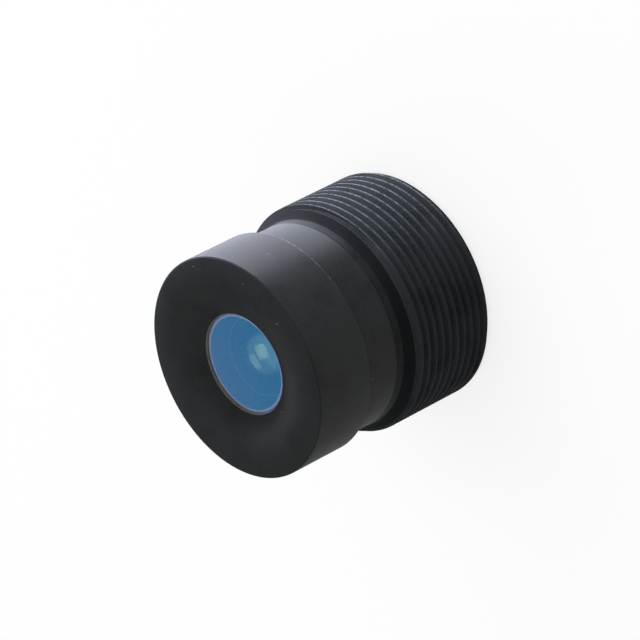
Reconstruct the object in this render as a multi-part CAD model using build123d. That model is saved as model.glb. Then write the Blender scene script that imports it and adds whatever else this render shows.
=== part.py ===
from build123d import *
import math
import os

# A fixed focus lens for a board camera. It stands on its rear end, with its optical axis along Z
# and its glass up. The origin is the centre of the flat rear end. Sizes are in millimetres and
# angles in degrees.

# Mounting thread, and the steps and walls of the shells from the thread inwards
thread_diameter = 12.0
shoulder_height = 0.62
collar_wall = 0.6
neck_step = 0.02
cap_step = 0.35
cap_wall = 0.95
nose_wall = 1.15
spigot_wall = 1.63
barrel_wall = 2.08

# Lengths along the outside, from the front rim back
cap_length = 3.4
neck_length = 2.17
seam_gap = 0.06
collar_length = 0.39
rear_recess = 0.47

# Front face of the cap: a flat ring, then a shallow dish down to a thin lip round the glass
face_ring_width = 2.0
dish_depth = 0.54
lip_overlap = 0.97
lip_thickness = 0.2

# Edge breaks. The step from the collar up to the thread is a 45 degree lead.
cap_front_bevel = 0.1
thread_rear_bevel = 0.3

# Fits
thread_clearance = 0.03
element_clearance = 0.02
filter_clearance = 0.02
cap_end_clearance = 0.1
cap_shoulder_clearance = 0.03
housing_end_clearance = 0.1
bore_relief = 0.1
cement_layer = 0.01
seat_margin = 0.1
light_stop_margin = 0.05

# Front meniscus. A slope is the angle at which a lens surface meets the flat seat round it.
front_meniscus_edge = 1.9
front_meniscus_front_slope = 3.0
front_meniscus_rear_slope = 46.0
front_meniscus_rear_rim = 1.6

# Second element, ahead of the stop, and the one behind the stop
second_convex_edge = 0.9
second_convex_slope = 12.5
mid_convex_edge = 1.0
mid_convex_slope = 12.5

# Cemented pair and last element
crown_edge = 1.0
flint_edge = 0.95
cemented_rim = 0.7
cemented_slope = 5.8
rear_convex_edge = 0.8
rear_convex_slope = 5.8

# Iris plate and light stops, which are thin discs with a hole
iris_thickness = 0.08
iris_hole_radius = 0.9
iris_hole_flare = 0.04
light_stop_thickness = 0.05
rear_light_stop_rim = 1.0

# Spacer rings
front_spacer_thickness = 0.45
stop_front_spacer_thickness = 0.8
stop_rear_spacer_thickness = 0.7
mid_spacer_wall = 0.8
rear_spacer_thickness = 0.3
rear_spacer_wall = 0.8

# Seat turned inside the barrel. It carries the glass ahead of it and the glass behind it.
barrel_seat_thickness = 0.9
barrel_seat_ledge = 0.72

# Rear retaining ring, its two spanner slots and the filter in its rebate
retainer_socket_wall = 1.62
retainer_thickness = 0.6
retainer_wall = 1.45
retainer_slot_width = 0.8
retainer_slot_depth = 0.25
filter_rebate_wall = 1.03
filter_thickness = 0.3

# The glass is stacked from the lip of the cap back to the retaining ring. A depth is measured from
# the front rim, and each is the rear of the piece before it.
front_meniscus_depth = dish_depth + lip_thickness
front_light_stop_depth = front_meniscus_depth + front_meniscus_edge
front_spacer_depth = front_light_stop_depth + light_stop_thickness
second_convex_depth = front_spacer_depth + front_spacer_thickness
stop_front_spacer_depth = second_convex_depth + second_convex_edge
iris_depth = stop_front_spacer_depth + stop_front_spacer_thickness
stop_rear_spacer_depth = iris_depth + iris_thickness
mid_convex_depth = stop_rear_spacer_depth + stop_rear_spacer_thickness
barrel_seat_depth = mid_convex_depth + mid_convex_edge
crown_depth = barrel_seat_depth + barrel_seat_thickness
flint_depth = crown_depth + crown_edge + cement_layer
rear_light_stop_depth = flint_depth + flint_edge
rear_spacer_depth = rear_light_stop_depth + light_stop_thickness
rear_convex_depth = rear_spacer_depth + rear_spacer_thickness
retainer_depth = rear_convex_depth + rear_convex_edge
retainer_end_depth = retainer_depth + retainer_thickness
total_length = retainer_end_depth + rear_recess

# Radii of the outside, and of the threaded joints between the shells
thread_radius = thread_diameter / 2
collar_radius = thread_radius - shoulder_height
neck_radius = collar_radius + neck_step
cap_radius = neck_radius + cap_step
cap_bore = cap_radius - cap_wall
nose_radius = cap_bore - thread_clearance
socket_radius = collar_radius - collar_wall
spigot_radius = socket_radius - thread_clearance

# Radii of the bores, and of the glass and rings that sit in them
front_bore = nose_radius - nose_wall
front_element_radius = front_bore - element_clearance
mid_bore = spigot_radius - spigot_wall
mid_element_radius = mid_bore - element_clearance
mid_spacer_bore = mid_element_radius - mid_spacer_wall
barrel_seat_bore = mid_bore - barrel_seat_ledge
rear_bore = thread_radius - barrel_wall
rear_element_radius = rear_bore - element_clearance
rear_spacer_bore = rear_element_radius - rear_spacer_wall
retainer_socket = thread_radius - retainer_socket_wall
retainer_radius = retainer_socket - thread_clearance
retainer_bore = retainer_radius - retainer_wall
filter_rebate = retainer_radius - filter_rebate_wall
filter_radius = filter_rebate - filter_clearance

# Radii of the front opening, and of the lens surfaces inside their flat seats. A surface that
# stands out stops short of the bore that it faces.
aperture_radius = front_element_radius - lip_overlap
dish_radius = cap_radius - face_ring_width
front_meniscus_front_clear = aperture_radius - seat_margin
front_meniscus_rear_clear = front_element_radius - front_meniscus_rear_rim
front_light_stop_hole = front_meniscus_rear_clear + light_stop_margin
second_convex_clear = mid_spacer_bore - seat_margin
mid_convex_clear = barrel_seat_bore - seat_margin
cemented_clear = rear_element_radius - cemented_rim
rear_convex_clear = rear_spacer_bore - seat_margin
rear_light_stop_hole = rear_element_radius - rear_light_stop_rim

# Where the shells meet each other, as depths from the front rim
nose_depth = front_meniscus_depth + cap_end_clearance
neck_start_depth = cap_length + cap_shoulder_clearance
neck_end_depth = neck_start_depth + neck_length
housing_end_depth = barrel_seat_depth - housing_end_clearance
collar_start_depth = neck_end_depth + seam_gap
collar_end_depth = collar_start_depth + collar_length
thread_start_depth = collar_end_depth + shoulder_height


def height(depth):
    """Height above the rear end of a point that lies this far behind the front rim."""
    return total_length - depth


def turned(outline):
    """Solid of revolution about the optical axis, from points of radius and depth."""
    points = [(radius, height(depth)) for radius, depth in outline]
    return revolve(Plane.XZ * make_face(Polyline(*points, close=True)), Axis.Z)


def ring(outer, bore, depth, thickness):
    """Plain turned ring or thin disc with a central hole."""
    end = depth + thickness
    return turned([(bore, depth), (outer, depth), (outer, end), (bore, end)])


def lens_surface(rim_height, curve):
    """Line of a lens surface from the axis out to its seat, and the height of its pole."""
    if curve is None:
        return [], rim_height
    clear, slope = curve
    angle = math.radians(slope)
    curve_radius = clear / math.sin(angle)
    pole = rim_height + clear * math.tan(angle / 2)
    halfway = (
        curve_radius * math.sin(angle / 2),
        pole - curve_radius * (1 - math.cos(angle / 2)),
    )
    return [ThreePointArc((0, pole), halfway, (clear, rim_height))], pole


def element(radius, depth, edge, front_curve=None, rear_curve=None):
    """Glass element with plane faces, or spherical ones with a flat seat round them.

    A curve is the radius of its clear area and its slope there, which is positive where the surface
    rises towards the front of the lens on the axis.
    """
    front = height(depth)
    rear = height(depth + edge)
    front_line, front_pole = lens_surface(front, front_curve)
    rear_line, rear_pole = lens_surface(rear, rear_curve)
    rim = Polyline(
        (front_curve[0] if front_curve else 0, front),
        (radius, front),
        (radius, rear),
        (rear_curve[0] if rear_curve else 0, rear),
    )
    axis_line = Line((0, rear_pole), (0, front_pole))
    outline = make_face([*front_line, rim, *rear_line, axis_line])
    return revolve(Plane.XZ * outline, Axis.Z)


def make_front_cap():
    """Turned cap with the dished face. Its skirt screws over the nose of the front housing."""
    return turned([
        (aperture_radius, dish_depth),
        (dish_radius, 0),
        (cap_radius - cap_front_bevel, 0),
        (cap_radius, cap_front_bevel),
        (cap_radius, cap_length),
        (cap_bore, cap_length),
        (cap_bore, front_meniscus_depth),
        (aperture_radius, front_meniscus_depth),
    ])


def make_front_housing():
    """Tube behind the cap: the nose inside the cap, the neck that shows, and the rear spigot."""
    mid_bore_depth = front_spacer_depth + bore_relief
    return turned([
        (front_bore, nose_depth),
        (nose_radius, nose_depth),
        (nose_radius, neck_start_depth),
        (neck_radius, neck_start_depth),
        (neck_radius, neck_end_depth),
        (spigot_radius, neck_end_depth),
        (spigot_radius, housing_end_depth),
        (mid_bore, housing_end_depth),
        (mid_bore, mid_bore_depth),
        (front_bore, mid_bore_depth),
    ])


def make_threaded_barrel():
    """Main barrel: the collar, the lead and the mounting thread at its outer size."""
    return turned([
        (socket_radius, collar_start_depth),
        (collar_radius, collar_start_depth),
        (collar_radius, collar_end_depth),
        (thread_radius, thread_start_depth),
        (thread_radius, total_length - thread_rear_bevel),
        (thread_radius - thread_rear_bevel, total_length),
        (retainer_socket, total_length),
        (retainer_socket, retainer_depth - bore_relief),
        (rear_bore, retainer_depth - bore_relief),
        (rear_bore, crown_depth),
        (barrel_seat_bore, crown_depth),
        (barrel_seat_bore, barrel_seat_depth),
        (socket_radius, barrel_seat_depth),
    ])


def make_iris_plate():
    """Blackened plate with the fixed stop. Its hole is flared to a thin edge at the front."""
    rear = iris_depth + iris_thickness
    return turned([
        (iris_hole_radius, iris_depth),
        (mid_element_radius, iris_depth),
        (mid_element_radius, rear),
        (iris_hole_radius + iris_hole_flare, rear),
    ])


def make_rear_retainer():
    """Threaded ring that clamps the rear glass, with two spanner slots and a rebate for the filter."""
    rebate_depth = retainer_end_depth - filter_thickness
    body = turned([
        (retainer_bore, retainer_depth),
        (retainer_radius, retainer_depth),
        (retainer_radius, retainer_end_depth),
        (filter_rebate, retainer_end_depth),
        (filter_rebate, rebate_depth),
        (retainer_bore, rebate_depth),
    ])
    slot = Box(
        thread_diameter,
        retainer_slot_width,
        retainer_slot_depth,
        align=(Align.CENTER, Align.CENTER, Align.MIN),
    )
    return body - Pos(0, 0, height(retainer_end_depth)) * slot


pieces = {
    "front_cap": make_front_cap(),
    "front_housing": make_front_housing(),
    "threaded_barrel": make_threaded_barrel(),
    "front_meniscus": element(
        front_element_radius, front_meniscus_depth, front_meniscus_edge,
        front_curve=(front_meniscus_front_clear, front_meniscus_front_slope),
        rear_curve=(front_meniscus_rear_clear, front_meniscus_rear_slope),
    ),
    "front_light_stop": ring(
        front_element_radius, front_light_stop_hole, front_light_stop_depth, light_stop_thickness,
    ),
    "front_spacer": ring(
        mid_element_radius, mid_spacer_bore, front_spacer_depth, front_spacer_thickness,
    ),
    "second_convex": element(
        mid_element_radius, second_convex_depth, second_convex_edge,
        rear_curve=(second_convex_clear, -second_convex_slope),
    ),
    "stop_front_spacer": ring(
        mid_element_radius, mid_spacer_bore, stop_front_spacer_depth, stop_front_spacer_thickness,
    ),
    "iris_plate": make_iris_plate(),
    "stop_rear_spacer": ring(
        mid_element_radius, mid_spacer_bore, stop_rear_spacer_depth, stop_rear_spacer_thickness,
    ),
    "mid_convex": element(
        mid_element_radius, mid_convex_depth, mid_convex_edge,
        rear_curve=(mid_convex_clear, -mid_convex_slope),
    ),
    "pair_crown": element(
        rear_element_radius, crown_depth, crown_edge,
        rear_curve=(cemented_clear, -cemented_slope),
    ),
    "pair_flint": element(
        rear_element_radius, flint_depth, flint_edge,
        front_curve=(cemented_clear, -cemented_slope),
    ),
    "rear_light_stop": ring(
        rear_element_radius, rear_light_stop_hole, rear_light_stop_depth, light_stop_thickness,
    ),
    "rear_spacer": ring(
        rear_element_radius, rear_spacer_bore, rear_spacer_depth, rear_spacer_thickness,
    ),
    "rear_convex": element(
        rear_element_radius, rear_convex_depth, rear_convex_edge,
        front_curve=(rear_convex_clear, rear_convex_slope),
    ),
    "rear_retainer": make_rear_retainer(),
    "infrared_filter": Pos(0, 0, height(retainer_end_depth)) * Cylinder(
        filter_radius,
        filter_thickness,
        align=(Align.CENTER, Align.CENTER, Align.MIN),
    ),
}

os.makedirs("parts", exist_ok=True)
for name, solid in pieces.items():
    export_step(solid, f"parts/{name}.step")
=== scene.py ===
import math

import bmesh
import bpy
from mathutils import Matrix, Vector


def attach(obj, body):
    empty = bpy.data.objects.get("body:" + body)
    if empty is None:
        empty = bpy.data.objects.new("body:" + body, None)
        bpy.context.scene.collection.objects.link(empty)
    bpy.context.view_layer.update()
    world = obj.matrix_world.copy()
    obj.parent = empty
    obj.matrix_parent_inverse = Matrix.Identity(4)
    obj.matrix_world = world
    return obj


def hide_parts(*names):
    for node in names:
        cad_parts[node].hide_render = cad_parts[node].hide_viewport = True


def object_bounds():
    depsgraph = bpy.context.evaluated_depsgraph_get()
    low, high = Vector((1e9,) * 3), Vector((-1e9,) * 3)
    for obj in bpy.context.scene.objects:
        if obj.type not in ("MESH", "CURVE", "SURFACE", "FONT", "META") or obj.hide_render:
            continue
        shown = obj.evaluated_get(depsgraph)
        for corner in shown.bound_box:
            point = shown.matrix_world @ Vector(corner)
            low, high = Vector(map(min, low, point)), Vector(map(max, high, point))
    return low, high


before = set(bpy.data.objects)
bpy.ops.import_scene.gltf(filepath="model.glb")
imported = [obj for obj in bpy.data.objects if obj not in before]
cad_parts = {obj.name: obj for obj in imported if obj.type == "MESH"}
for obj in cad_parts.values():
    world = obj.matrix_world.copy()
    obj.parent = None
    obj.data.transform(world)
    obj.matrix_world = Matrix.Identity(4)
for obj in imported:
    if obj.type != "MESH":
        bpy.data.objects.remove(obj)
cad_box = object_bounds()


# Front cap: one turned aluminium part with a flat ring, a shallow dish and a thin lip that holds
# the front glass. It is blasted, dyed black and screwed over the nose of the housing. Its rear
# edge has chipped to pale metal, drawn only on the +X side that the strip lamp lights, so that it
# is partly wear and partly a painted highlight.

MM = 0.001
front_height = cad_box[1].z
TURN_STEPS = 256
SHARP_ANGLE = math.radians(30)

CAP_RADIUS = 5.75
CAP_LENGTH = 3.4
CAP_BORE = 4.8
DISH_RADIUS = 3.75
DISH_DEPTH = 0.54
APERTURE_RADIUS = 2.63
LIP_THICKNESS = 0.2
EDGE_BREAK = 0.05
CAP_FRONT_BREAK = 0.1
DISH_BLEND = 0.6
INNER_BREAK = 0.02
BREAK_SEGMENTS = 4


def linear(hex_colour):
    """Opaque colour for a shader socket from an sRGB hex value."""
    channels = [int(hex_colour[i:i + 2], 16) / 255 for i in (1, 3, 5)]
    return [c / 12.92 if c <= 0.04045 else ((c + 0.055) / 1.055) ** 2.4 for c in channels] + [1.0]


def add_node(material, kind, links=(), **settings):
    """Shader node with its settings, and its inputs linked as (input, node, output)."""
    made = material.node_tree.nodes.new(kind)
    for key, value in settings.items():
        if key.startswith("in_"):
            socket = key[3:].replace("_", " ")
            made.inputs[int(socket) if socket.isdigit() else socket].default_value = value
        else:
            setattr(made, key, value)
    for target, source, output in links:
        material.node_tree.links.new(source.outputs[output], made.inputs[target])
    return made


def blank_material(name):
    """New material whose node tree holds only its output."""
    material = bpy.data.materials.new(name)
    material.use_nodes = True
    material.node_tree.nodes.clear()
    return material


def turned(name, corners, closed=True):
    """Mesh object spun about the optical axis from corners of radius, depth and edge break in mm."""
    bm = bmesh.new()
    points = [bm.verts.new((radius * MM, 0, front_height - depth * MM)) for radius, depth, _ in corners]
    bm.faces.new(points)
    if not closed:
        axis_edge = bm.edges.get((points[0], points[-1]))
    breaks = sorted({corner[2] for corner in corners if corner[2] > 0})
    for size in breaks:
        picked = [point for point, corner in zip(points, corners) if corner[2] == size]
        bmesh.ops.bevel(
            bm, geom=picked, offset=size * MM, offset_type="OFFSET", segments=BREAK_SEGMENTS,
            profile=0.5, affect="VERTICES", material=-1,
        )
    bmesh.ops.delete(bm, geom=bm.faces[:], context="FACES_ONLY")
    if not closed:
        bmesh.ops.delete(bm, geom=[axis_edge], context="EDGES")
    bmesh.ops.spin(
        bm, geom=bm.verts[:] + bm.edges[:], cent=(0, 0, 0), axis=(0, 0, 1), dvec=(0, 0, 0),
        angle=2 * math.pi, steps=TURN_STEPS, use_merge=True, use_normal_flip=False,
        use_duplicate=False,
    )
    bmesh.ops.remove_doubles(bm, verts=bm.verts[:], dist=MM * 0.0001)
    bmesh.ops.recalc_face_normals(bm, faces=bm.faces[:])
    mesh = bpy.data.meshes.new(name)
    bm.to_mesh(mesh)
    bm.free()
    mesh.shade_smooth()
    mesh.set_sharp_from_angle(angle=SHARP_ANGLE)
    piece = bpy.data.objects.new(name, mesh)
    bpy.context.scene.collection.objects.link(piece)
    return piece


GRAIN = 0.08
BLOTCH = 1.6
DARK_TONE = 0.8
LIGHT_TONE = 1.2
GRAIN_HEIGHT = 0.01
DUST_SPACING = 0.8
DUST_SIZE = 0.04
DUST_FROM = 0.4
DUST_TO = 0.65
DUST_COLOUR = "#86847E"
# The next two numbers fade the bare-metal chips in along +X, the side the strip lamp lights, so that the
# chips are partly wear and partly a painted highlight.
LIT_SIDE_FROM = 1.0
LIT_SIDE_TO = 5.0
CHIP_SIZE = 0.22
CHIPS_FROM = 0.35
CHIPS_TO = 0.7
BARE_METAL_AND_HIGHLIGHT = "#B4B6BC"


def black_anodised(name, roughness, specular, anisotropy=0.0, rubbed=0.0, dark="#0E1111",
                   light="#1A1D1E"):
    """Turned, blasted and dyed aluminium. The eye sees a dull black with a soft sheen stretched
    across the tool marks, fine grain, faint blotches and a few specks of dust. Where it is rubbed,
    the dye has chipped down to pale metal, drawn only on the +X side of the lens that the strip
    lamp lights, so that the chips are partly wear and partly a painted highlight. The grain is
    drawn 0.08 mm wide, coarser than real blasting, so that it shows."""
    material = blank_material(name)
    place = add_node(material, "ShaderNodeTexCoord")
    grain = add_node(
        material, "ShaderNodeTexNoise", [("Vector", place, "Object")],
        in_Scale=1 / (GRAIN * MM), in_Detail=2.0, in_Roughness=0.6,
    )
    blotch = add_node(
        material, "ShaderNodeTexNoise", [("Vector", place, "Object")],
        in_Scale=1 / (BLOTCH * MM), in_Detail=3.0, in_Roughness=0.5,
    )
    tone = add_node(
        material, "ShaderNodeMath", [(0, grain, "Fac"), (1, blotch, "Fac")], operation="ADD",
    )
    shade = add_node(material, "ShaderNodeValToRGB", [(0, tone, 0)])
    shade.color_ramp.elements[0].position = DARK_TONE
    shade.color_ramp.elements[0].color = linear(dark)
    shade.color_ramp.elements[1].position = LIGHT_TONE
    shade.color_ramp.elements[1].color = linear(light)
    cells = add_node(
        material, "ShaderNodeTexVoronoi", [("Vector", place, "Object")],
        in_Scale=1 / (DUST_SPACING * MM),
    )
    size = add_node(
        material, "ShaderNodeMapRange", [("Value", blotch, "Fac")],
        in_From_Min=DUST_FROM, in_From_Max=DUST_TO, in_To_Max=DUST_SIZE / DUST_SPACING,
    )
    speck = add_node(
        material, "ShaderNodeMath", [(0, cells, "Distance"), (1, size, 0)], operation="LESS_THAN",
    )
    dusty = add_node(
        material, "ShaderNodeMix", [("Factor", speck, 0), (6, shade, "Color")],
        data_type="RGBA", in_7=linear(DUST_COLOUR),
    )
    # Painted highlight: the bare-metal chips are faded in along +X, the lit side, and stand partly for
    # wear and partly for edge and crest highlights.
    parts = add_node(material, "ShaderNodeSeparateXYZ", [(0, place, "Object")])
    side = add_node(
        material, "ShaderNodeMapRange", [("Value", parts, "X")],
        in_From_Min=LIT_SIDE_FROM * MM, in_From_Max=LIT_SIDE_TO * MM, in_To_Max=rubbed,
    )
    chips = add_node(
        material, "ShaderNodeTexNoise", [("Vector", place, "Object")],
        in_Scale=1 / (CHIP_SIZE * MM), in_Detail=3.0, in_Roughness=0.7,
    )
    patchy = add_node(
        material, "ShaderNodeMapRange", [("Value", chips, "Fac")],
        in_From_Min=CHIPS_FROM, in_From_Max=CHIPS_TO,
    )
    wear_and_highlight = add_node(
        material, "ShaderNodeMath", [(0, side, 0), (1, patchy, 0)], operation="MULTIPLY",
    )
    worn_and_highlit = add_node(
        material, "ShaderNodeMix", [("Factor", wear_and_highlight, 0), (6, dusty, 2)],
        data_type="RGBA", in_7=linear(BARE_METAL_AND_HIGHLIGHT),
    )
    relief = add_node(
        material, "ShaderNodeBump", [("Height", grain, "Fac")],
        in_Strength=0.5, in_Distance=GRAIN_HEIGHT * MM,
    )
    direction = add_node(material, "ShaderNodeTangent", direction_type="RADIAL", axis="Z")
    skin = add_node(
        material, "ShaderNodeBsdfPrincipled",
        [("Base Color", worn_and_highlit, 2), ("Normal", relief, 0), ("Tangent", direction, 0)],
        in_Roughness=roughness, in_Specular_IOR_Level=specular,
        in_Anisotropic=anisotropy, in_Anisotropic_Rotation=0.25,
    )
    add_node(material, "ShaderNodeOutputMaterial", [("Surface", skin, 0)])
    return material


def dress(piece, *finishes):
    """Gives each face the first material whose test of radius, depth and rise it passes."""
    for material, _ in finishes:
        piece.data.materials.append(material)
    for face in piece.data.polygons:
        radius = math.hypot(face.center.x, face.center.y) / MM
        depth = (front_height - face.center.z) / MM
        face.material_index = next(
            index for index, (_, test) in enumerate(finishes) if test(radius, depth, face.normal.z)
        )


FLAT_RISE = 0.35


def across(radius, depth, rise):
    """True for a face that lies across the axis, such as an end or a flank."""
    return abs(rise) > FLAT_RISE


def anywhere(radius, depth, rise):
    """True for every face."""
    return True


def rear_edge(radius, depth, rise):
    """True on the break of the cap's outer edge at the rear."""
    return radius > CAP_RADIUS - EDGE_BREAK and depth > CAP_LENGTH - EDGE_BREAK


def lip_wall(radius, depth, rise):
    """True on the short wall of the lip around the front glass."""
    return radius < APERTURE_RADIUS + INNER_BREAK and depth > DISH_DEPTH


cap_wall = black_anodised(
    "black anodised aluminium, turned wall", 0.62, 0.48, anisotropy=0.9, dark="#060808", light="#141617",
)
cap_face = black_anodised(
    "black anodised aluminium, blasted face", 0.85, 0.18, dark="#191C1D", light="#202324",
)
# Painted highlight: the rear edge's pale chips show only on the lit +X side and stand partly for wear
# and partly for the bright edge highlight.
cap_edge = black_anodised("black anodised aluminium, edge chips and painted highlight", 0.6, 0.35, rubbed=0.9)
# Painted light: the lip's short wall is coloured a pale brownish grey, far lighter than the cap's black,
# to stand for light falling on it.
cap_lip_painted_light = black_anodised(
    "black anodised aluminium, lip wall with painted light", 0.6, 0.3, dark="#66625C", light="#86817A",
)

front_cap = turned("front_cap_turned", [
    (APERTURE_RADIUS, DISH_DEPTH, INNER_BREAK),
    (DISH_RADIUS, 0, DISH_BLEND),
    (CAP_RADIUS, 0, CAP_FRONT_BREAK),
    (CAP_RADIUS, CAP_LENGTH, EDGE_BREAK),
    (CAP_BORE, CAP_LENGTH, EDGE_BREAK),
    (CAP_BORE, DISH_DEPTH + LIP_THICKNESS, INNER_BREAK),
    (APERTURE_RADIUS, DISH_DEPTH + LIP_THICKNESS, INNER_BREAK),
])
dress(front_cap, (cap_edge, rear_edge), (cap_lip_painted_light, lip_wall), (cap_face, across), (cap_wall, anywhere))
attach(front_cap, "root")
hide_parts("front_cap")


# Glass elements: six ground and polished lenses with antireflection coatings, blue on the outermost
# face and faint inside. Each is clamped at its flat rim between a seat, a spacer ring or the next
# lens, and two are cemented together.

GLASS_BREAK = 0.03
CURVE_STEPS = 24
GROUND_STEP = 0.07
PALE_BAND = 0.06
GROUND_EDGE = 0.03


def lens_curve(clear, slope, depth):
    """Corners of a spherical surface from the axis to its flat seat, for a slope in degrees."""
    curve_radius = clear / math.sin(math.radians(slope))
    pole = depth - clear * math.tan(math.radians(slope) / 2)
    angles = [math.radians(slope) * step / CURVE_STEPS for step in range(CURVE_STEPS + 1)]
    return [
        (abs(curve_radius) * abs(math.sin(angle)), pole + curve_radius * (1 - math.cos(angle)), 0)
        for angle in angles
    ]


def lens(name, node, radius, depth, edge, front=None, rear=None, step=0, ground=0):
    """Glass element that stands for a CAD node. A curve is its clear radius and its slope. The
    front curve may stand proud on a ground step, and the rear curve may have a ground edge."""
    front_corners = lens_curve(*front, depth - step) if front else [(0, depth, 0)]
    if step:
        front_corners.append((front[0] + step, depth, 0))
    rear_corners = lens_curve(*rear, depth + edge) if rear else [(0, depth + edge, 0)]
    if ground:
        rear_corners.append((rear[0] + ground, depth + edge, 0))
    rim = [(radius, depth, GLASS_BREAK), (radius, depth + edge, GLASS_BREAK)]
    piece = turned(name, front_corners + rim + rear_corners[::-1], closed=False)
    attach(piece, "root")
    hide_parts(node)
    return piece


GLASS_INDEX = 1.52
CLOUD = 0.8
GRIT = 0.06


def coated_glass(name, film, film_index, coat_colour="#FFFFFF", level=0.5, roughness=0.03,
                 colour="#E4EFF6", cloud_colour="#F6FBFD"):
    """Polished optical glass under a thin film, whose thickness in nanometres gives the even
    colour of what it mirrors. Inside, the eye sees almost clear glass with a faint cloud."""
    material = blank_material(name)
    place = add_node(material, "ShaderNodeTexCoord")
    cloud = add_node(
        material, "ShaderNodeTexNoise", [("Vector", place, "Object")],
        in_Scale=1 / (CLOUD * MM), in_Detail=2.0,
    )
    shade = add_node(material, "ShaderNodeValToRGB", [(0, cloud, "Fac")])
    shade.color_ramp.elements[0].position = 0.3
    shade.color_ramp.elements[0].color = linear(colour)
    shade.color_ramp.elements[1].position = 0.7
    shade.color_ramp.elements[1].color = linear(cloud_colour)
    skin = add_node(
        material, "ShaderNodeBsdfPrincipled", [("Base Color", shade, "Color")],
        in_Roughness=roughness, in_IOR=GLASS_INDEX, in_Transmission_Weight=1.0,
        in_Specular_IOR_Level=level, in_Specular_Tint=linear(coat_colour),
        in_Thin_Film_Thickness=film, in_Thin_Film_IOR=film_index,
    )
    add_node(material, "ShaderNodeOutputMaterial", [("Surface", skin, 0)])
    return material


def ground_glass(name, dark, light):
    """Edge or seat of a glass element, ground with fine grit. The eye sees a matt grey rim, and a
    nearly black one where it is inked against stray light. The grit is drawn coarser than real."""
    material = blank_material(name)
    place = add_node(material, "ShaderNodeTexCoord")
    grit = add_node(
        material, "ShaderNodeTexNoise", [("Vector", place, "Object")],
        in_Scale=1 / (GRIT * MM), in_Detail=2.0,
    )
    shade = add_node(material, "ShaderNodeValToRGB", [(0, grit, "Fac")])
    shade.color_ramp.elements[0].position = 0.35
    shade.color_ramp.elements[0].color = linear(dark)
    shade.color_ramp.elements[1].position = 0.65
    shade.color_ramp.elements[1].color = linear(light)
    skin = add_node(
        material, "ShaderNodeBsdfPrincipled", [("Base Color", shade, "Color")], in_Roughness=0.7,
    )
    add_node(material, "ShaderNodeOutputMaterial", [("Surface", skin, 0)])
    return material


blue_coat = coated_glass("blue coated optical glass", 148, 2.2, "#FFFBE4")
cyan_coat = coated_glass("cyan coated optical glass", 160, 2.0, "#96E6FF", roughness=0.11)
inner_coat = coated_glass("faintly coated optical glass", 0, 1.38, "#A8E4F2", level=0.08)
pale_rim = ground_glass("pale ground glass rim", "#566C98", "#8494B4")
worn_ink = ground_glass("thinly inked ground glass", "#4A5164", "#646C82")
inked_edge = ground_glass("inked edge of ground glass", "#232423", "#3A3B39")

# Radius, depth of the front seat, edge thickness, front curve and rear curve of each element.
lens_sizes = {
    "front_meniscus": (3.6, 0.74, 1.9, (2.53, 3.0), (2.0, 46.0)),
    "second_convex": (3.1, 3.14, 0.9, None, (2.2, -12.5)),
    "mid_convex": (3.1, 5.62, 1.0, None, (2.3, -12.5)),
    "pair_crown": (3.9, 7.52, 1.0, None, (3.2, -5.8)),
    "pair_flint": (3.9, 8.53, 0.95, (3.2, -5.8), None),
    "rear_convex": (3.9, 9.83, 0.8, (3.0, 5.8), None),
}
for node_name, (lens_radius, lens_depth, lens_edge, front, rear) in lens_sizes.items():
    outermost = node_name == "front_meniscus"
    element = lens(
        node_name + "_ground", node_name, lens_radius, lens_depth, lens_edge, front, rear,
        step=GROUND_STEP if outermost else 0, ground=GROUND_EDGE if outermost else 0,
    )
    dress(
        element,
        (inked_edge, lambda radius, depth, rise: radius > lens_radius - GLASS_BREAK),
        (inner_coat, lambda radius, depth, rise: not outermost),
        (pale_rim, lambda radius, depth, rise: rise > 0 and radius > front[0] - PALE_BAND),
        (blue_coat, lambda radius, depth, rise: rise > 0),
        (cyan_coat, lambda radius, depth, rise: radius < rear[0]),
        (worn_ink, lambda radius, depth, rise: radius < rear[0] + GROUND_EDGE),
        (inked_edge, anywhere),
    )


# Spacer rings, light stops and iris plate: thin turned aluminium rings and stamped discs, all
# blackened, which space the glass and cut stray light. They keep the exact shapes of the frame.
# Their matte black has faint flecks, and to the eye it is the dark behind the glass.

matte_black = blank_material("matte black anodised ring")
fleck_place = add_node(matte_black, "ShaderNodeTexCoord")
fleck = add_node(
    matte_black, "ShaderNodeTexNoise", [("Vector", fleck_place, "Object")],
    in_Scale=1 / (GRAIN * MM), in_Detail=2.0,
)
fleck_shade = add_node(matte_black, "ShaderNodeValToRGB", [(0, fleck, "Fac")])
fleck_shade.color_ramp.elements[0].color = linear("#131416")
fleck_shade.color_ramp.elements[1].color = linear("#24272A")
ring_skin = add_node(
    matte_black, "ShaderNodeBsdfPrincipled", [("Base Color", fleck_shade, 0)],
    in_Roughness=0.7, in_Specular_IOR_Level=0.3,
)
add_node(matte_black, "ShaderNodeOutputMaterial", [("Surface", ring_skin, 0)])

for node_name in (
    "front_light_stop", "front_spacer", "stop_front_spacer", "iris_plate", "stop_rear_spacer",
    "rear_light_stop", "rear_spacer",
):
    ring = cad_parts[node_name]
    ring.data.materials.clear()
    ring.data.materials.append(matte_black)


# Front housing: a turned aluminium tube, dyed black. Its nose screws into the cap, its neck shows
# between the cap and the seam, and its rear spigot screws into the barrel.

NOSE_DEPTH = 0.84
NOSE_RADIUS = 4.77
FRONT_BORE = 3.62
NECK_START = 3.43
NECK_RADIUS = 5.4
NECK_END = 5.62
SPIGOT_RADIUS = 4.75
HOUSING_END = 6.52
MID_BORE = 3.12
MID_BORE_DEPTH = 2.79
SEAM_BREAK = 0.03

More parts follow.
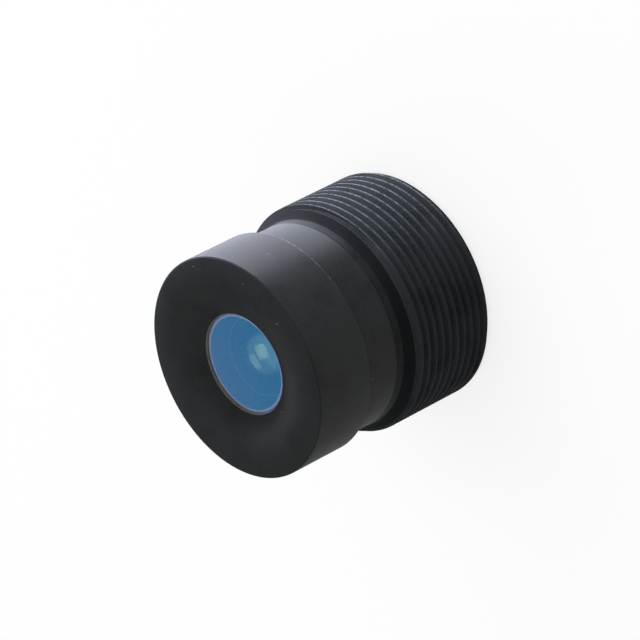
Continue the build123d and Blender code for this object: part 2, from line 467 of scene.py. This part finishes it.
front_housing = turned("front_housing_turned", [
    (FRONT_BORE, NOSE_DEPTH, INNER_BREAK),
    (NOSE_RADIUS, NOSE_DEPTH, INNER_BREAK),
    (NOSE_RADIUS, NECK_START, 0),
    (NECK_RADIUS, NECK_START, INNER_BREAK),
    (NECK_RADIUS, NECK_END, SEAM_BREAK),
    (SPIGOT_RADIUS, NECK_END, 0),
    (SPIGOT_RADIUS, HOUSING_END, INNER_BREAK),
    (MID_BORE, HOUSING_END, INNER_BREAK),
    (MID_BORE, MID_BORE_DEPTH, INNER_BREAK),
    (FRONT_BORE, MID_BORE_DEPTH, 0),
])
dress(front_housing, (cap_face, across), (cap_wall, anywhere))
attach(front_housing, "root")
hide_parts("front_housing")


# Threaded barrel: the main tube, turned from aluminium, with a plain collar at the seam, a wide
# shoulder and a fine right-hand thread, cut with a single point and then dyed. The thread crests
# have chipped to pale metal, drawn only on the +X side that the strip lamp lights, so that the
# chips are partly wear and partly a painted highlight.

SOCKET_RADIUS = 4.78
COLLAR_START = 5.66
COLLAR_RADIUS = 5.38
COLLAR_END = 6.05
COLLAR_BLEND = 0.3
THREAD_RADIUS = 6.0
LEAD_END = 6.67
BARREL_LENGTH = 11.7
REAR_BREAK = 0.3
RETAINER_SOCKET = 4.38
SOCKET_DEPTH = 10.53
REAR_BORE = 3.92
CROWN_DEPTH = 7.52
BARREL_SEAT_BORE = 2.4
BARREL_SEAT_DEPTH = 6.62

PITCH = 0.5
FIRST_GROOVE = 6.255
GROOVE_TURNS = 11
GROOVE_DEPTH = 0.22
GROOVE_WIDTH = 0.4
GROOVE_ROOT = 0.11
GROOVE_REACH = 0.05

threaded_barrel = turned("threaded_barrel_turned", [
    (SOCKET_RADIUS, COLLAR_START, INNER_BREAK),
    (COLLAR_RADIUS, COLLAR_START, SEAM_BREAK),
    (COLLAR_RADIUS, COLLAR_END, COLLAR_BLEND),
    (THREAD_RADIUS, LEAD_END, EDGE_BREAK),
    (THREAD_RADIUS, BARREL_LENGTH - REAR_BREAK, 0),
    (THREAD_RADIUS - REAR_BREAK, BARREL_LENGTH, 0),
    (RETAINER_SOCKET, BARREL_LENGTH, EDGE_BREAK),
    (RETAINER_SOCKET, SOCKET_DEPTH, 0),
    (REAR_BORE, SOCKET_DEPTH, INNER_BREAK),
    (REAR_BORE, CROWN_DEPTH, 0),
    (BARREL_SEAT_BORE, CROWN_DEPTH, INNER_BREAK),
    (BARREL_SEAT_BORE, BARREL_SEAT_DEPTH, INNER_BREAK),
    (SOCKET_RADIUS, BARREL_SEAT_DEPTH, 0),
])

# The groove of the thread is one closed helical bar, which is cut out of the barrel. It fades in on
# the lead, runs out over the rear chamfer, and its turns stay clear of each other.
bm = bmesh.new()
reach_radius = THREAD_RADIUS + GROOVE_REACH
root_radius = THREAD_RADIUS - GROOVE_DEPTH
flank = (GROOVE_WIDTH - GROOVE_ROOT) / 2 / GROOVE_DEPTH
mouth = GROOVE_WIDTH / 2 + flank * GROOVE_REACH
section = [
    bm.verts.new((0, radius * MM, front_height - (FIRST_GROOVE + along) * MM))
    for radius, along in (
        (reach_radius, -mouth), (root_radius, -GROOVE_ROOT / 2),
        (root_radius, GROOVE_ROOT / 2), (reach_radius, mouth),
    )
]
bar_end = bm.faces.new(section)
bmesh.ops.spin(
    bm, geom=[bar_end], cent=(0, 0, 0), axis=(0, 0, -1),
    dvec=(0, 0, -PITCH * MM / TURN_STEPS), angle=2 * math.pi * GROOVE_TURNS,
    steps=TURN_STEPS * GROOVE_TURNS, use_merge=False, use_normal_flip=False, use_duplicate=False,
)
bmesh.ops.holes_fill(bm, edges=[edge for edge in bm.edges if edge.is_boundary], sides=4)
bmesh.ops.recalc_face_normals(bm, faces=bm.faces[:])
groove_mesh = bpy.data.meshes.new("thread groove")
bm.to_mesh(groove_mesh)
bm.free()
groove = bpy.data.objects.new("thread groove", groove_mesh)
bpy.context.scene.collection.objects.link(groove)
cut = threaded_barrel.modifiers.new("thread", "BOOLEAN")
cut.operation = "DIFFERENCE"
cut.solver = "EXACT"
cut.object = groove
with bpy.context.temp_override(object=threaded_barrel):
    bpy.ops.object.modifier_apply(modifier=cut.name)
bpy.data.objects.remove(groove)
bpy.data.meshes.remove(groove_mesh)
threaded_barrel.data.set_sharp_from_angle(angle=SHARP_ANGLE)

LEAD_RISE = 0.74
CREST_START = THREAD_RADIUS - 0.02


def on_lead(radius, depth, rise):
    """True on the cone between the collar and the thread, outside the groove."""
    return FLAT_RISE < rise < LEAD_RISE and depth < LEAD_END and radius > COLLAR_RADIUS


def groove_root(radius, depth, rise):
    """True at the bottom of the groove."""
    return depth > FIRST_GROOVE and COLLAR_RADIUS < radius < CREST_START


def below_crests(radius, depth, rise):
    """True on the bores and the collar, inside or ahead of the thread's crests."""
    return radius < CREST_START or depth < LEAD_END - EDGE_BREAK


barrel_wall = black_anodised("black anodised aluminium, barrel wall", 0.62, 0.2, anisotropy=0.9)
# Painted shade: the lead cone between the collar and the thread is coloured darker than the barrel's
# other black, to stand for shade on it.
barrel_lead_painted_shade = black_anodised(
    "black anodised aluminium, blasted lead with painted shade", 0.9, 0.1, dark="#0B0D0E", light="#131516",
)
# Painted light: the groove's flanks and root are coloured lighter than the barrel's other black, to
# stand for light reaching into the groove.
thread_flank_painted_light = black_anodised(
    "black anodised aluminium, thread flank with painted light", 0.9, 0.1, dark="#212425", light="#2D3132",
)
# Painted highlight: the crest chips show only on the lit +X side and stand partly for wear and partly
# for glints on the crests.
thread_crest = black_anodised(
    "black anodised aluminium, rubbed thread crest", 0.85, 0.2, rubbed=0.28, dark="#171B1C",
    light="#212425",
)
dress(
    threaded_barrel, (barrel_lead_painted_shade, on_lead), (thread_flank_painted_light, across), (thread_flank_painted_light, groove_root),
    (barrel_wall, below_crests), (thread_crest, anywhere),
)
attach(threaded_barrel, "root")
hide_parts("threaded_barrel")


# Rear retaining ring and infrared filter: a blackened aluminium ring with two spanner slots screws
# in behind the last lens, and a thin coated glass disc is glued into its rebate.

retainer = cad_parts["rear_retainer"]
retainer.data.materials.clear()
retainer.data.materials.append(matte_black)

FILTER_RADIUS = 3.3
FILTER_DEPTH = 10.93
FILTER_THICKNESS = 0.3
infrared_filter = turned("infrared_filter_cut", [
    (0, FILTER_DEPTH, 0),
    (FILTER_RADIUS, FILTER_DEPTH, GLASS_BREAK),
    (FILTER_RADIUS, FILTER_DEPTH + FILTER_THICKNESS, GLASS_BREAK),
    (0, FILTER_DEPTH + FILTER_THICKNESS, 0),
], closed=False)
filter_glass = coated_glass(
    "infrared cut filter glass", 260, 2.2, "#FFC8C8", colour="#8FD6DC", cloud_colour="#A6E0E2",
)
dress(
    infrared_filter,
    (inked_edge, lambda radius, depth, rise: radius > FILTER_RADIUS - GLASS_BREAK),
    (filter_glass, anywhere),
)
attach(infrared_filter, "root")
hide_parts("infrared_filter")


# Floor: a plain white sheet that the lens stands on, rear end down. To the camera and in what the
# lens mirrors it is partly a white of its own, which throws no light on the lens, so that the
# background stays even and the shadow stays faint.

FLOOR_SIZE = 2.0
SHEET_WHITENESS = 0.8
MIRRORED_SHARE = 0.4
bm = bmesh.new()
bmesh.ops.create_grid(bm, x_segments=1, y_segments=1, size=FLOOR_SIZE / 2)
floor_mesh = bpy.data.meshes.new("floor")
bm.to_mesh(floor_mesh)
bm.free()
floor = bpy.data.objects.new("floor", floor_mesh)
bpy.context.scene.collection.objects.link(floor)
white_sheet = blank_material("white paper sheet")
sheet_rays = add_node(white_sheet, "ShaderNodeLightPath")
direct_rays = add_node(
    white_sheet, "ShaderNodeMath", [(0, sheet_rays, "Is Glossy Ray"), (2, sheet_rays, "Is Camera Ray")],
    operation="MULTIPLY_ADD", in_1=MIRRORED_SHARE,
)
seen_rays = add_node(
    white_sheet, "ShaderNodeMath", [(0, direct_rays, 0), (1, sheet_rays, "Is Transmission Ray")],
    operation="ADD", use_clamp=True,
)
white_share = add_node(
    white_sheet, "ShaderNodeMath", [(0, seen_rays, 0)], operation="MULTIPLY", in_1=SHEET_WHITENESS,
)
sheet_skin = add_node(white_sheet, "ShaderNodeBsdfDiffuse", in_Color=linear("#F7F7F7"))
sheet_white = add_node(white_sheet, "ShaderNodeEmission", in_Strength=1.0)
sheet_mix = add_node(
    white_sheet, "ShaderNodeMixShader",
    [("Fac", white_share, 0), (1, sheet_skin, 0), (2, sheet_white, 0)],
)
add_node(white_sheet, "ShaderNodeOutputMaterial", [("Surface", sheet_mix, 0)])
floor_mesh.materials.append(white_sheet)


# Light: an even pale room, a large soft lamp overhead, which also makes the bright spot in the front
# glass, a soft lamp behind the lens, which the front glass mirrors as an even blue, and a low strip
# lamp on the side that the photograph shows bright.

ROOM_LEVEL = 0.5
world = bpy.data.worlds.new("room")
bpy.context.scene.world = world
world.use_nodes = True
world.node_tree.nodes["Background"].inputs["Color"].default_value = (1, 1, 1, 1)
world.node_tree.nodes["Background"].inputs["Strength"].default_value = ROOM_LEVEL


def soft_lamp(name, azimuth, elevation, distance, width, height, level, colour="#FFFFFF"):
    """Area lamp aimed at the lens. A small lamp of level 1 lights a facing white card to full white,
    and wide ones such as these light it to about three quarters of that."""
    lamp = bpy.data.lights.new(name, "AREA")
    lamp.shape = "RECTANGLE"
    lamp.size = width
    lamp.size_y = height
    lamp.color = linear(colour)[:3]
    lamp.energy = level * math.pi * distance ** 2 * math.pi
    holder = bpy.data.objects.new(name, lamp)
    bpy.context.scene.collection.objects.link(holder)
    turn, rise = math.radians(azimuth), math.radians(elevation)
    way = Vector((math.cos(turn) * math.cos(rise), math.sin(turn) * math.cos(rise), math.sin(rise)))
    holder.location = way * distance
    holder.rotation_euler = way.to_track_quat("Z", "Y").to_euler()


soft_lamp("overhead lamp", azimuth=0, elevation=80, distance=0.4, width=0.3, height=0.3, level=0.35)
soft_lamp("back lamp", azimuth=100, elevation=38, distance=0.4, width=0.3, height=0.3, level=0.15)
soft_lamp(
    "side lamp", azimuth=14, elevation=3, distance=0.25, width=0.4, height=0.025, level=5.2,
    colour="#E8ECFF",
)


# Camera: a long lens at the viewing angle of the photograph, fitted to the outlines of the lens
# with 5000 pixels of focal length in a picture 640 pixels wide.

SENSOR_WIDTH = 36.0
FOCAL_PIXELS = 5000.0
PICTURE_PIXELS = 640.0
camera_data = bpy.data.cameras.new("camera")
camera_data.sensor_width = SENSOR_WIDTH
camera_data.lens = SENSOR_WIDTH * FOCAL_PIXELS / PICTURE_PIXELS
camera = bpy.data.objects.new("camera", camera_data)
bpy.context.scene.collection.objects.link(camera)
view_right = Vector((-0.45338, -0.54988, -0.70148))
view_up = Vector((0.89131, -0.27970, -0.35682))
view_back = Vector((0, -0.78702, 0.61693))
camera_place = Vector((0.000241, -0.192802, 0.156890))
turn = Matrix((view_right, view_up, view_back)).transposed().to_4x4()
camera.matrix_world = Matrix.Translation(camera_place) @ turn
camera_data.clip_start = 0.01
camera_data.clip_end = 10
bpy.context.scene.camera = camera
bpy.context.scene.view_settings.view_transform = "Standard"
